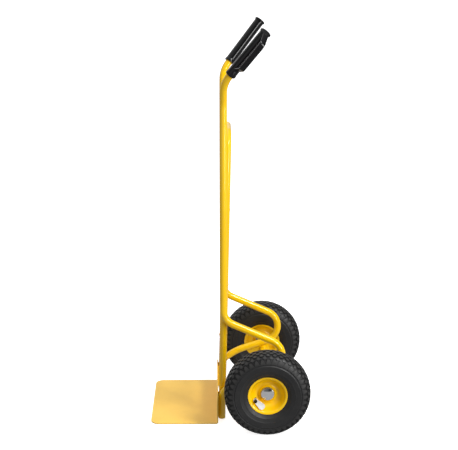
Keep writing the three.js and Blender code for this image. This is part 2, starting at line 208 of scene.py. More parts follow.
def tube(name, corners, radius, bore, sides=40):
    """A hollow tube along bent corners, with its ends cut square and broken at the edge."""
    stations = centreline(corners)
    chamfer = 0.5
    for end, inward in ((0, 1), (-1, -1)):
        point, direction = stations[end]
        extra = (point + direction * inward * chamfer, direction)
        stations.insert(1 if end == 0 else len(stations) - 1, extra)
    axes = moving_axes(stations)
    verts = []
    count = len(stations)
    for wall in (radius, bore):
        order = range(count) if wall == radius else range(count - 1, -1, -1)
        for i in order:
            at_end = i in (0, count - 1)
            ring = wall + (chamfer * (-0.6 if wall == radius else 0.4) if at_end else 0)
            point, (side, up) = stations[i][0], axes[i]
            for j in range(sides):
                angle = 2 * math.pi * j / sides
                verts.append(point + side * ring * math.cos(angle) + up * ring * math.sin(angle))
    return new_object(name, verts, rings_to_faces(2 * count, sides, True))


def lathe(name, profile, sign=1, segments=96, centre=(0, 0), origin=WHEEL_X, closed=True, radius_at=None):
    """A profile of (x, radius) turned about a line along X through the axle, or beside it."""
    verts = []
    for x, radius in profile:
        for j in range(segments):
            angle = 2 * math.pi * j / segments
            r = radius_at(x, radius, angle) if radius_at else radius
            y, z = r * math.cos(angle) + centre[0], r * math.sin(angle) + centre[1]
            verts.append((sign * (origin + x), AXLE_Y + y, AXLE_Z + z))
    return new_object(name, verts, rings_to_faces(len(profile), segments, closed))


def finish_piece(obj, body, nodes, material):
    """Puts a piece on its body, in place of its solids, with its finish."""
    obj.data.materials.clear()
    obj.data.materials.append(material)
    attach(obj, body)
    if nodes:
        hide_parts(*nodes)
    return obj


# ---- Materials ----
class Finish:
    """A node material under construction."""

    def __init__(self, name, **constants):
        self.material = bpy.data.materials.new(name)
        self.material.use_nodes = True
        self.tree = self.material.node_tree
        self.tree.nodes.clear()
        output = self.tree.nodes.new("ShaderNodeOutputMaterial")
        self.shader = self.tree.nodes.new("ShaderNodeBsdfPrincipled")
        self.tree.links.new(self.shader.outputs["BSDF"], output.inputs["Surface"])
        for key, value in constants.items():
            self.shader.inputs[key.replace("_", " ")].default_value = value
        self.place = self.tree.nodes.new("ShaderNodeTexCoord").outputs["Object"]

    def stretched(self, scale):
        mapping = self.tree.nodes.new("ShaderNodeMapping")
        mapping.inputs["Scale"].default_value = scale
        self.tree.links.new(self.place, mapping.inputs["Vector"])
        return mapping.outputs["Vector"]

    def noise(self, scale, detail=3, roughness=0.5, place=None, distortion=0):
        node = self.tree.nodes.new("ShaderNodeTexNoise")
        node.inputs["Scale"].default_value = scale
        node.inputs["Detail"].default_value = detail
        node.inputs["Roughness"].default_value = roughness
        node.inputs["Distortion"].default_value = distortion
        self.tree.links.new(place or self.place, node.inputs["Vector"])
        return node.outputs["Fac"]

    def spread(self, value, low, high, to_low, to_high):
        node = self.tree.nodes.new("ShaderNodeMapRange")
        node.interpolation_type = "SMOOTHSTEP"
        for socket, number in zip(node.inputs[1:5], (low, high, to_low, to_high)):
            socket.default_value = number
        self.tree.links.new(value, node.inputs["Value"])
        return node.outputs["Result"]

    def math(self, operation, a, b):
        node = self.tree.nodes.new("ShaderNodeMath")
        node.operation = operation
        for socket, value in zip(node.inputs, (a, b)):
            if isinstance(value, (int, float)):
                socket.default_value = value
            else:
                self.tree.links.new(value, socket)
        return node.outputs["Value"]

    def blend(self, factor, first, second):
        node = self.tree.nodes.new("ShaderNodeMix")
        node.data_type = "RGBA"
        self.tree.links.new(factor, node.inputs["Factor"])
        for socket, value in ((node.inputs[6], first), (node.inputs[7], second)):
            if isinstance(value, tuple):
                socket.default_value = (*value, 1)
            else:
                self.tree.links.new(value, socket)
        return node.outputs[2]

    def bump(self, height, strength, distance, under=None):
        node = self.tree.nodes.new("ShaderNodeBump")
        node.inputs["Strength"].default_value = strength
        node.inputs["Distance"].default_value = distance
        self.tree.links.new(height, node.inputs["Height"])
        if under:
            self.tree.links.new(under, node.inputs["Normal"])
        return node.outputs["Normal"]

    def use(self, socket, value):
        self.tree.links.new(value, self.shader.inputs[socket])


def paint_finish(name, light, deep, roughness, dust=0.12):
    """Powder coat: slight pooling of colour, orange peel, fine rub marks and a little dust near the floor."""
    paint = Finish(name, Specular_IOR_Level=0.5, IOR=1.5)
    pooling = paint.noise(9, 3, 0.55)
    speckle = paint.noise(420, 2, 0.6)
    colour = paint.blend(paint.spread(pooling, 0.35, 0.65, 0, 1), light, deep)
    fine = paint.blend(paint.spread(speckle, 0.45, 0.75, 0, 0.05), colour, tuple(0.8 * c for c in deep))
    separate = paint.tree.nodes.new("ShaderNodeSeparateXYZ")
    paint.tree.links.new(paint.place, separate.inputs["Vector"])
    low_down = paint.spread(separate.outputs["Z"], 0.0, 0.05, dust, 0)
    patches = paint.spread(paint.noise(35, 5, 0.65), 0.42, 0.62, 0, 1)
    dusty = paint.math("MULTIPLY", low_down, patches)
    paint.use("Base Color", paint.blend(dusty, fine, (0.50, 0.36, 0.12)))
    rubs = paint.noise(60, 6, 0.7, paint.stretched((1, 6, 0.7)))
    gloss = paint.spread(rubs, 0.35, 0.75, roughness - 0.02, roughness + 0.05)
    paint.use("Roughness", paint.math("ADD", gloss, paint.math("MULTIPLY", dusty, 0.5)))
    peel = paint.bump(paint.noise(480, 2, 0.5), 0.02, 0.0003)
    waves = paint.bump(paint.noise(38, 2, 0.4), 0.012, 0.002, peel)
    paint.use("Normal", waves)
    return paint.material


def rubber_finish(name, dark, dusty_colour, roughness, treaded=False):
    """Moulded rubber: mould skin grain, faint bloom and dust held by the roughest spots."""
    rubber = Finish(name, Specular_IOR_Level=0.4, IOR=1.5)
    bloom = rubber.spread(rubber.noise(28, 5, 0.6), 0.4, 0.7, 0, 0.55)
    grit = rubber.spread(rubber.noise(700, 3, 0.7), 0.5, 0.8, 0, 0.5)
    colour = rubber.blend(bloom, dark, dusty_colour)
    if treaded:  # lug tops are paler, partly real scuffing and partly a painted sheen; the bottoms of the grooves are darker as painted shade
        lug_and_groove_values = rubber.tree.nodes.new("ShaderNodeAttribute")
        lug_and_groove_values.attribute_name = "scuff_sheen_and_groove_shade"
        worn_and_painted_sheen = rubber.spread(lug_and_groove_values.outputs["Fac"], 0.5, 1.0, 0, 1)
        # painted shade: groove floors and lug sides darken towards 0.3 of the rubber's colour
        deep = rubber.spread(lug_and_groove_values.outputs["Fac"], 0.0, 0.5, 1, 0)
        colour = rubber.blend(worn_and_painted_sheen, colour, tuple(1.5 * c for c in dusty_colour))
        colour = rubber.blend(deep, colour, tuple(0.3 * c for c in dark))
    rubber.use("Base Color", rubber.blend(grit, colour, tuple(1.5 * c for c in dusty_colour)))
    wear = rubber.noise(90, 4, 0.6)
    rubber.use("Roughness", rubber.spread(wear, 0.3, 0.7, roughness - 0.07, roughness + 0.08))
    skin = rubber.bump(rubber.noise(1300, 3, 0.6), 0.22, 0.0003)
    rubber.use("Normal", rubber.bump(rubber.noise(150, 3, 0.6), 0.12, 0.0006, skin))
    return rubber.material


def plastic_finish(name, dark, roughness):
    """Injection-moulded plastic with a fine spark texture and faint handling shine."""
    plastic = Finish(name, Specular_IOR_Level=0.33, IOR=1.5)
    handling = plastic.spread(plastic.noise(40, 4, 0.6), 0.4, 0.7, 0, 1)
    plastic.use("Base Color", plastic.blend(handling, dark, tuple(1.8 * c for c in dark)))
    shine = plastic.noise(75, 5, 0.65)
    plastic.use("Roughness", plastic.spread(shine, 0.35, 0.7, roughness - 0.02, roughness + 0.05))
    plastic.use("Normal", plastic.bump(plastic.noise(1500, 2, 0.5), 0.04, 0.0002))
    return plastic.material


def steel_finish(name):
    """Zinc-plated turned steel: faint blotches, turning marks round the axle line."""
    steel = Finish(name, Metallic=1.0, IOR=2.5)
    blotches = steel.spread(steel.noise(55, 5, 0.6), 0.35, 0.7, 0, 1)
    steel.use("Base Color", steel.blend(blotches, (0.60, 0.60, 0.60), (0.42, 0.41, 0.38)))
    turning = steel.noise(900, 2, 0.6, steel.stretched((1, 0.02, 0.02)))
    steel.use("Roughness", steel.spread(turning, 0.3, 0.7, 0.26, 0.42))
    steel.use("Normal", steel.bump(turning, 0.10, 0.0002))
    return steel.material


def chrome_finish(name):
    """Bright plating with hairline polishing marks and a faint haze."""
    chrome = Finish(name, Metallic=1.0, IOR=2.8)
    haze = chrome.spread(chrome.noise(90, 4, 0.6), 0.4, 0.7, 0, 1)
    chrome.use("Base Color", chrome.blend(haze, (0.86, 0.86, 0.87), (0.80, 0.80, 0.81)))
    hairlines = chrome.noise(700, 3, 0.6, chrome.stretched((1, 0.12, 1)))
    chrome.use("Roughness", chrome.spread(hairlines, 0.35, 0.75, 0.06, 0.12))
    chrome.use("Normal", chrome.bump(hairlines, 0.015, 0.0001))
    return chrome.material


def card_finish(name):
    """Uncoated white plastic card with faint fibres and a soft cloudiness."""
    card = Finish(name, IOR=1.45)
    cloud = card.spread(card.noise(120, 4, 0.6), 0.4, 0.7, 0, 1)
    card.use("Base Color", card.blend(cloud, (0.90, 0.90, 0.88), (0.80, 0.79, 0.76)))
    card.use("Roughness", card.spread(card.noise(300, 3, 0.5), 0.3, 0.7, 0.45, 0.62))
    card.use("Normal", card.bump(card.noise(900, 3, 0.6), 0.10, 0.0002))
    return card.material


FRAME_PAINT = paint_finish("yellow_powder_coat", (0.90, 0.55, 0.002), (0.86, 0.51, 0.002), 0.12)
# The toe plate's colour carries blue 0.085 against the frame's 0.002: a painted pale reflection of the bright
# backdrop across its top. Its higher roughness is real.
PLATE_PAINT = paint_finish("rough_yellow_coat_painted_sheen", (0.885, 0.55, 0.085), (0.865, 0.535, 0.08), 0.5, 0.04)
RIM_PAINT = paint_finish("yellow_rim_paint", (0.94, 0.565, 0.001), (0.90, 0.525, 0.001), 0.2, 0.0)
TYRE_RUBBER = rubber_finish("tyre_rubber", (0.012, 0.012, 0.0125), (0.019, 0.0185, 0.018), 0.5, True)
TUBE_RUBBER = rubber_finish("inner_tube_rubber", (0.016, 0.016, 0.016), (0.03, 0.03, 0.03), 0.6)
VALVE_RUBBER = rubber_finish("valve_rubber", (0.012, 0.012, 0.012), (0.02, 0.02, 0.02), 0.45)
GRIP_PLASTIC = plastic_finish("grip_plastic", (0.0022, 0.0022, 0.0026), 0.12)
BARE_STEEL = steel_finish("zinc_steel")
CAP_CHROME = chrome_finish("cap_chrome")
TAG_CARD = card_finish("tag_card")


# ---- Frame ----
def hoop_point(x, z):
    return (x, HOOP["foot_y"] + HOOP["lean"] * z, z)


def side_tube_corners(sign):
    corners = [((sign * SIDE_X, y, z), bend) for y, z, bend in SIDE_TUBE]
    outward = HANDLE_RISE.x / HANDLE_RISE.z * (HANDLE_CORNER_Z - SIDE_TUBE[-1][1])
    corner = Vector((sign * (SIDE_X + outward), HANDLE_CORNER_Y, HANDLE_CORNER_Z))
    end = corner + handle_direction(sign) * (GRIP_START + GRIP_TUBE_IN)
    return corners + [(corner, HANDLE_BEND), (end, 0)]


def handle_direction(sign):
    return Vector((sign * HANDLE_RISE.x, HANDLE_RISE.y, HANDLE_RISE.z)).normalized()


def build_tubes():
    foot, top = HOOP["foot_z"], HOOP["top_z"]
    hoop = tube(
        "hoop_tube",
        [
            (hoop_point(-LEG_X, foot), 0),
            (hoop_point(-LEG_X, top), HOOP["bend"]),
            (hoop_point(LEG_X, top), HOOP["bend"]),
            (hoop_point(LEG_X, foot), 0),
        ],
        TUBE_RADIUS,
        TUBE_BORE,
    )
    finish_piece(hoop, "frame", ["inner_hoop"], FRAME_PAINT)
    for place, height in zip(("lower", "middle", "upper"), CROSSBAR_HEIGHTS):
        reach = LEG_X - TUBE_RADIUS + 3  # ends a little inside the legs' walls
        ends = [(hoop_point(-reach, height), 0), (hoop_point(reach, height), 0)]
        bar = tube(f"{place}_crossbar_tube", ends, CROSSBAR_RADIUS, CROSSBAR_RADIUS - 1.5, 32)
        finish_piece(bar, "frame", [f"{place}_crossbar"], FRAME_PAINT)
    for side, sign in SIDES:
        bent = tube(f"{side}_bent_tube", side_tube_corners(sign), TUBE_RADIUS, TUBE_BORE)
        finish_piece(bent, "frame", [f"{side}_side_tube"], FRAME_PAINT)


def bead_points(path, radius, closed=False):
    """A weld bead along a path: a small round section that swells and shrinks at each ripple."""
    sides, ripple, step = 8, 2.4, 0.6
    dense = []
    count = len(path)
    for i in range(count if closed else count - 1):
        a, b = Vector(path[i]), Vector(path[(i + 1) % count])
        pieces = max(1, round((b - a).length / step))
        dense += [a.lerp(b, k / pieces) for k in range(pieces)]
    if not closed:
        dense.append(Vector(path[-1]))
    verts, total = [], len(dense)
    travelled = 0
    for i, point in enumerate(dense):
        after = dense[(i + 1) % total] if closed or i < total - 1 else point
        before = dense[i - 1] if closed or i else point
        direction = (after - before).normalized()
        lengthwise = abs(direction.x) > 0.9  # nearly along X, where the cross product would vanish
        side = (direction.orthogonal() if lengthwise else direction.cross((1, 0, 0))).normalized()
        up = direction.cross(side)
        travelled += (after - point).length
        swell = radius * (0.86 + 0.14 * abs(math.cos(math.pi * travelled / ripple)))
        if not closed:
            swell *= min(1, 0.25 + 0.5 * min(i, total - 1 - i))
        for j in range(sides):
            angle = 2 * math.pi * j / sides
            verts.append(point + side * swell * math.cos(angle) + up * swell * math.sin(angle))
    faces = rings_to_faces(total, sides, closed)
    if not closed:
        faces.append(tuple(range(sides)))
        faces.append(tuple(range((total - 1) * sides, total * sides)))
    return verts, faces


STAY_SLOPE = math.atan2(SIDE_TUBE[3][1] - SIDE_TUBE[2][1], SIDE_TUBE[3][0] - SIDE_TUBE[2][0])


def below_stay(y, drop):
    """Height of a line that runs beside the stay, a square distance under its centreline."""
    start_y, start_z, _ = SIDE_TUBE[2]
    return start_z + math.tan(STAY_SLOPE) * (y - start_y) - drop / math.cos(STAY_SLOPE)


def build_welds():
    """Every weld bead of the frame, as one piece."""
    beads = []
    for height in CROSSBAR_HEIGHTS:
        for sign in (1, -1):
            ring = []
            for j in range(36):
                angle = 2 * math.pi * j / 36
                y, z = CROSSBAR_RADIUS * math.cos(angle), CROSSBAR_RADIUS * math.sin(angle)
                inset = math.sqrt(max(0, (TUBE_RADIUS + 0.6) ** 2 - y * y))
                base = hoop_point(0, height)
                ring.append((sign * (LEG_X - inset), base[1] + 1.05 * y, base[2] + 1.05 * z))
            beads.append(bead_points(ring, 1.7, True))
    valley = 3.9  # how far a bead between two tubes lies from the line joining their centres
    for height in (360, 600, 830):
        for sign in (1, -1):
            for face in (1, -1):
                x = sign * (LEG_X + SIDE_X) / 2
                line = []
                for dz in (-14, 14):
                    y = (SIDE_TUBE[4][0] + hoop_point(0, height + dz)[1]) / 2
                    line.append((x, y + face * valley, height + dz))
                beads.append(bead_points(line, 1.6))
    plate_back = PLATE["back_y"] + 1.2
    for sign in (1, -1):
        for x in (LEG_X - 6.1, SIDE_X + 6.1):
            beads.append(bead_points([(sign * x, plate_back, 10), (sign * x, plate_back, 80)], 1.7))
    for sign in (1, -1):
        for face in (1, -1):
            x = sign * SIDE_X + face * (BRACKET_THICK / 2 + 0.6)
            line = [(x, y, below_stay(y, TUBE_RADIUS + 0.2)) for y in (66, 126)]
            beads.append(bead_points(line, 1.5))
            ring = []
            for j in range(36):
                angle = 2 * math.pi * j / 36
                y, z = (AXLE_RADIUS + 0.6) * math.cos(angle), (AXLE_RADIUS + 0.6) * math.sin(angle)
                ring.append((x, AXLE_Y + y, AXLE_Z + z))
            beads.append(bead_points(ring, 1.5, True))
    verts, faces = [], []
    for bead_verts, bead_faces in beads:
        start = len(verts)
        verts += bead_verts
        faces += [tuple(start + i for i in face) for face in bead_faces]
    welds = new_object("weld_beads", verts, faces, 60)
    finish_piece(welds, "frame", [], FRAME_PAINT)


def build_toe_plate():
    """Flat sheet turned up at the back, drawn flat as rows, bent, then given its thickness."""
    thick, bend, corner = PLATE["thick"], PLATE["bend"], PLATE["corner"]
    half = PLATE["width"] / 2
    middle = bend + thick / 2
    centre_y = PLATE["back_y"] - thick - bend
    flat_length = centre_y - PLATE["front_y"]
    turn_length = middle * math.pi / 2
    rise_length = PLATE["lip"] - thick - bend
    total = flat_length + turn_length + rise_length
    ease = [corner * (1 - math.cos(math.radians(a))) for a in range(0, 91, 10)]
    stations = ease + [flat_length * k / 8 for k in range(2, 9)]
    stations += [flat_length + turn_length * k / 8 for k in range(1, 9)]
    stations += [flat_length + turn_length + (rise_length - corner) * k / 4 for k in range(1, 5)]
    stations += [total - e for e in reversed(ease[:-1])]
    columns = 13

    def place(t):
        if t <= flat_length:
            return (PLATE["front_y"] + t, thick / 2), (0, 1)
        if t <= flat_length + turn_length:
            angle = (t - flat_length) / middle
            along, up = math.sin(angle), math.cos(angle)
            return (centre_y + middle * along, thick / 2 + middle * (1 - up)), (-along, up)
        return (centre_y + middle, thick / 2 + middle + t - flat_length - turn_length), (-1, 0)

    verts = []
    for face in (1, -1):
        for t in stations:
            from_end = min(t, total - t)
            inset = corner - math.sqrt(corner**2 - max(0, corner - from_end) ** 2)
            (y, z), (ny, nz) = place(t)
            for j in range(columns):
                x = (half - inset) * (2 * j / (columns - 1) - 1)
                verts.append((x, y + face * ny * thick / 2, z + face * nz * thick / 2))
    rows = len(stations)
    top, faces = rows * columns, []
    for i in range(rows - 1):
        for j in range(columns - 1):
            a, b = i * columns + j, (i + 1) * columns + j
            faces.append((a, a + 1, b + 1, b))
            faces.append((top + a, top + a + 1, top + b + 1, top + b))
        for j in (0, columns - 1):
            a, b = i * columns + j, (i + 1) * columns + j
            faces.append((a, b, top + b, top + a))
    for i in (0, rows - 1):
        for j in range(columns - 1):
            a = i * columns + j
            faces.append((a, a + 1, top + a + 1, top + a))
    plate = soften_edges(new_object("bent_toe_plate", verts, faces), 0.9, 3)
    finish_piece(plate, "frame", ["toe_plate"], PLATE_PAINT)


def build_brackets():
    """The plates that hang the axle under each stay."""
    y0, y1, ear, toe = 66, 128, 26, 12
    drop = TUBE_RADIUS - 0.6  # the plate's top edge reaches a little into the stay's wall
    outline = [(y0, below_stay(y0, drop)), (y0 + toe / 2, below_stay(y0, drop) - toe)]
    outline += arc((AXLE_Y, AXLE_Z), ear, 234, 351, 16)
    outline += [(y1, below_stay(y1, drop))]
    outline = rounded_loop(outline, 2.5)
    for side, sign in SIDES:
        verts = [(sign * SIDE_X + d * BRACKET_THICK / 2, y, z) for d in (-1, 1) for y, z in outline]
        count = len(outline)
        faces = [tuple(range(count)), tuple(range(count, 2 * count))]
        faces += [(i, (i + 1) % count, count + (i + 1) % count, count + i) for i in range(count)]
        plate = soften_edges(new_object(f"{side}_axle_hanger", verts, faces), 0.6)
        finish_piece(plate, "frame", [f"{side}_axle_bracket"], FRAME_PAINT)


def build_axle():
    chamfer = 1.5
    half = [(AXLE_END - chamfer, AXLE_RADIUS), (AXLE_END, AXLE_RADIUS - chamfer), (AXLE_END, 0)]
    profile = [(-x, radius) for x, radius in reversed(half)] + half
    rod = lathe("axle_rod", profile, 1, 64, origin=0, closed=False)
    finish_piece(rod, "frame", ["axle"], FRAME_PAINT)


# ---- Grips, in their own frame: u outboard, v across, w along the handle ----
def grip_axes(sign):
    along = handle_direction(sign)
    outboard = Vector((sign, 0, 0))
    outboard = (outboard - along * outboard.dot(along)).normalized()
    across = along.cross(outboard) * sign
    corner = side_tube_corners(sign)[-2][0]
    return corner + along * GRIP_START, outboard, across, along


def grip_sleeve(sign):
    """The sleeve: collar, cross-ribbed hand part and a domed end flange."""
    rib, depth = 2.6, 0.25
    hollow = GRIP_TUBE_IN + 0.3
    collar, flange, end = COLLAR_RADIUS, FLANGE_RADIUS, GRIP_LENGTH
    profile = [(0.6, 11.3), (0, 11.9), (0, collar - 0.7), (0.7, collar), (6.6, collar), (7.6, collar - 0.4)]
    profile += [(9.0, GRIP_RADIUS)]
    w = 12.0
    while w < end - 15:
        profile += [(w, GRIP_RADIUS), (w + 0.45 * rib, GRIP_RADIUS)]
        profile += [(w + 0.6 * rib, -1), (w + 0.85 * rib, -1)]  # -1 marks the bottom of a groove
        w += rib
    profile += [(w + 0.4, GRIP_RADIUS), (end - 7, GRIP_RADIUS), (end - 5.8, GRIP_RADIUS + 0.4)]
    profile += [(end - 4.8, flange - 0.4), (end - 4, flange), (end - 2, flange), (end - 1, flange - 0.8)]
    profile += [(end - 0.4, flange - 2.6), (end, flange - 8), (end, 0)]
    inner = [(hollow, 0), (hollow, 11.3)]
    origin, u, v, along = grip_axes(sign)
    segments = 72
    verts = []
    for w, radius in profile + inner:
        for j in range(segments):
            angle = 2 * math.pi * j / segments
            r = radius
            if radius < 0:
                outer_side = min(1, max(0, 1.6 * math.cos(angle - GUARD_TILT) + 0.7))
                r = GRIP_RADIUS - depth * outer_side
            verts.append(origin + u * r * math.cos(angle) + v * r * math.sin(angle) + along * w)
    rows = len(profile) + len(inner)
    return verts, rings_to_faces(rows, segments, True)


def grip_guard(sign):
    """The knuckle guard: a rounded band that leaves the collar, runs along the hand and joins the flange."""
    origin, u, v, along = grip_axes(sign)
    out = u * math.cos(GUARD_TILT) + v * math.sin(GUARD_TILT)
    wide = along.cross(out)
    foot, top = 31, GRIP_LENGTH - 3.4  # where its two ends meet the sleeve
    route = [
        ((12, foot), 0),
        ((20, foot), 8),
        ((GUARD_REACH, GUARD_FROM), 9),
        ((GUARD_REACH, GUARD_TO), 16),
        ((18.5, top), 5),
        ((12.5, top), 0),
    ]
    corners = [(origin + out * a + along * w, bend) for (a, w), bend in route]
    stations = centreline(corners, math.radians(7))
    straight_from, straight_to, rib, depth = GUARD_FROM + 7, GUARD_TO - 8, 2.6, 0.2
    dense = []
    for (p, d), (q, e) in zip(stations, stations[1:]):
        pieces = max(1, round((q - p).length / 0.65))
        dense += [(p.lerp(q, k / pieces), (d.lerp(e, k / pieces)).normalized()) for k in range(pieces)]
    dense.append(stations[-1])
    half_width, half_thick = GUARD_WIDTH / 2, GUARD_THICK / 2
    corners = [(-half_width, -half_thick), (half_width, -half_thick)]
    corners += [(half_width, half_thick), (-half_width, half_thick)]
    section = rounded_loop(corners, 1.6, 4)
    verts = []
    for point, direction in dense:
        w = (point - origin).dot(along)
        outward = wide.cross(direction)
        if outward.dot(out) < 0:
            outward = -outward
        ribbed = straight_from < w < straight_to and (w - straight_from) % rib > 0.62 * rib
        for a, b in section:
            lower = depth if ribbed and b > 0 and abs(a) < half_width - 1.5 else 0
            verts.append(point + wide * a + outward * (b - lower))
    count, sides = len(dense), len(section)
    faces = rings_to_faces(count, sides, False)
    faces += [tuple(range(sides)), tuple(range((count - 1) * sides, count * sides))]
    return verts, faces


def build_grips():
    for side, sign in SIDES:
        verts, faces = grip_sleeve(sign)
        band_verts, band_faces = grip_guard(sign)
        start = len(verts)
        faces += [tuple(start + i for i in face) for face in band_faces]
        grip = new_object(f"{side}_moulded_grip", verts + band_verts, faces, 30)
        finish_piece(grip, "frame", [f"{side}_grip"], GRIP_PLASTIC)


# ---- Wheels ----
PITCHES = 40  # tread lugs round the tyre
TYRE_TOP = [(0, 130), (12, 129.6), (24, 127.2), (33, 122), (38.6, 113), (41.8, 103), (42.5, 94), (41, 83)]
TYRE_TOP += [(37.2, 72), (33, 65.5), (30.2, 61.6), (28.6, 58)]


def tyre_rows():
    """The line from the crown to the bead: a point and outward direction at any distance, and its length."""
    line = smooth_line(TYRE_TOP, 24)
    lengths = [0]
    for a, b in zip(line, line[1:]):
        lengths.append(lengths[-1] + math.dist(a, b))

    def at(s):
        for i in range(len(line) - 1):
            if lengths[i + 1] >= s or i == len(line) - 2:
                t = (s - lengths[i]) / (lengths[i + 1] - lengths[i])
                (x0, r0), (x1, r1) = line[i], line[i + 1]
                size = math.hypot(x1 - x0, r1 - r0)
                return (x0 + t * (x1 - x0), r0 + t * (r1 - r0)), (-(r1 - r0) / size, (x1 - x0) / size)

    return at, lengths[-1]


# From, to, shift round the tyre in pitches, share of the pitch at the ends and in the middle.
TREAD_BANDS = (
    (0.0, 5.6, 0.0, 0.46, 0.62),
    (7.6, 15.4, 0.5, 0.34, 0.66),
    (17.4, 26.6, 0.0, 0.22, 0.66),
    (28.6, 38.0, 0.5, 0.20, 0.60),
)
SHOULDER_FROM, SHOULDER_TO = 39.6, 53.5  # ribs that run down onto the side wall


def tread(s):
    """Height of a lug there, from 0 to 1, its shift round the tyre in pitches, and its share of the pitch."""
    for start, end, shift, share_at_ends, share_in_middle in TREAD_BANDS:
        if start - 0.01 <= s <= end + 0.01:
            along = (s - start) / (end - start)
            if start:
                along = 1 - abs(2 * along - 1)
            else:
                along = 1 - along
            return 1, shift, share_at_ends + (share_in_middle - share_at_ends) * along
    along = min(1, max(0, (s - SHOULDER_FROM) / (SHOULDER_TO - SHOULDER_FROM)))
    height = 1 if SHOULDER_FROM - 0.01 <= s <= SHOULDER_TO + 0.01 else 0
    return height, 0, 0.26 + 0.58 * along


def tyre_stations(total):
    """Distances from the crown where the tread or the side wall changes."""
    wall = 0.7
    stations = []
    for start, end in [band[:2] for band in TREAD_BANDS] + [(SHOULDER_FROM, SHOULDER_TO)]:
        count = 4
        if start:
            stations.append(("low", start - wall))
        stations += [("top", start + (end - start) * k / count) for k in range(count + 1)]
        stations.append(("low", end + wall))
    side = [55, 55.8, 56.5, 57.2, 58, 58.8, 59.6, 60.4, 61.2, 62.4, 65, 68.5, 72, 74.4]
    side += [75.4, 76.2, 77, 78, 79.2, 81, 84, 87, 88, 88.8, 89.6, 90.6]
    stations += [("side", s) for s in side if s < total - 1]
    stations.append(("side", total))
    return stations


def side_wall_relief(s):
    """Depth of the ring groove and height of the thin rings on the side wall."""
    groove = -1.5 * math.exp(-(((s - 57.6) / 1.5) ** 2))
    ring = 0.5 * math.exp(-(((s - 61.2) / 0.8) ** 2)) + 0.6 * math.exp(-(((s - 76.3) / 1.1) ** 2))
    bead = 0.5 * math.exp(-(((s - 88.8) / 0.9) ** 2))
    return groove + ring + bead


def build_tyre(side, sign):
    at, total = tyre_rows()
    depth, wall = 2.8, 0.045  # lug height in millimetres, lug wall in pitches
    half = tyre_stations(total)
    mirrored = [(kind, -s) for kind, s in reversed(half)]
    columns_per_pitch = (-0.5, -0.5, -0.25, 0, 0.25, 0.5, 0.5, 1.0)
    verts, scuff_sheen_and_groove_shade = [], []
    for kind, s in mirrored + half[1:]:
        distance, mirror = abs(s), -1 if s < 0 else 1
        (x, radius), (nx, nr) = at(distance)
        x, nx = x * mirror, nx * mirror
        height, shift, share = tread(distance)
        if kind != "top":
            height = 0
        relief = side_wall_relief(distance)
        for pitch in range(PITCHES):
            for column, place in enumerate(columns_per_pitch):
                on_top = 1 <= column <= 5
                if column in (0, 6):
                    local = place * share + (-wall if column == 0 else wall)
                elif column == 7:
                    local = 0.5
                else:
                    local = place * share
                angle = 2 * math.pi * (pitch + local + shift) / PITCHES
                in_tread = distance < 54.2
                sink = depth * (1 - height * on_top) * fade(distance) if in_tread else 0
                lift = relief - sink
                r = radius + nr * lift
                verts.append((x + nx * lift, r * math.cos(angle), r * math.sin(angle)))
                # each point's value for the rubber: lug tops 0.5 to 1, paled partly as real scuffing and
                # partly as a painted sheen; groove floors and lug sides 0, darkened as painted shade; the
                # side wall 0.5, left as it is
                scuff_sheen_and_groove_shade.append((0.5 + 0.5 * fade(distance) if height * on_top else 0.0) if in_tread else 0.5)
    columns = PITCHES * len(columns_per_pitch)
    rows = len(verts) // columns
    lining = [(26.6, 54.2), (24, 52.9), (18.4, 52.6), (20.5, 59), (27, 67), (33.5, 76), (37, 88), (37.6, 96)]
    lining += [(35.6, 105), (30, 114), (20, 120), (8, 122.6)]
    lining += [(-x, r) for x, r in reversed(lining)]
    for x, r in lining:
        for j in range(columns):
            angle = 2 * math.pi * j / columns
            verts.append((x, r * math.cos(angle), r * math.sin(angle)))
            scuff_sheen_and_groove_shade.append(0.5)
    rows += len(lining)
    verts = [(sign * (WHEEL_X + x), AXLE_Y + y, AXLE_Z + z) for x, y, z in verts]
    tyre = new_object(f"{side}_treaded_tyre", verts, rings_to_faces(rows, columns, True), 28, scuff_sheen_and_groove_shade)
    finish_piece(tyre, f"{side}_wheel", [f"{side}_tyre"], TYRE_RUBBER)


def fade(s):
    """The tread's depth dies away down the shoulder."""
    return 1 if s < 40 else max(0.0, 1 - ((s - 40) / 14.5)) ** 0.45


def sheet_loop(middle, thick):
    """A closed profile of even thickness about a middle line."""
    sides = ([], [])
    for i, (x, r) in enumerate(middle):
        (x0, r0), (x1, r1) = middle[max(i - 1, 0)], middle[min(i + 1, len(middle) - 1)]
        size = math.hypot(x1 - x0, r1 - r0)
        for side, sign in zip(sides, (1, -1)):
            side.append((x - sign * thick / 2 * (r1 - r0) / size, r + sign * thick / 2 * (x1 - x0) / size))
    return sides[0] + sides[1][::-1]


RIM_MIDDLE = [(11, 21.3), (8.5, 22.6), (5.5, 25.5), (3.4, 29), (3.2, 32.5), (5.2, 37.5), (10.8, 43.5)]
RIM_MIDDLE += [(17.5, 47.8), (23.4, 50.8), (27.2, 53.6), (29.0, 56.6), (29.6, 59.4)]


def build_rim(side, sign, place, facing):
    """One pressed dish with a rolled lip."""
    loop = sheet_loop(smooth_line(RIM_MIDDLE, 5), 2)
    rim = lathe(f"{side}_rim_{place}_dish", [(facing * x, r) for x, r in loop], sign, 128)
    finish_piece(rim, f"{side}_wheel", [f"{side}_rim_{place}_pressing"], RIM_PAINT)


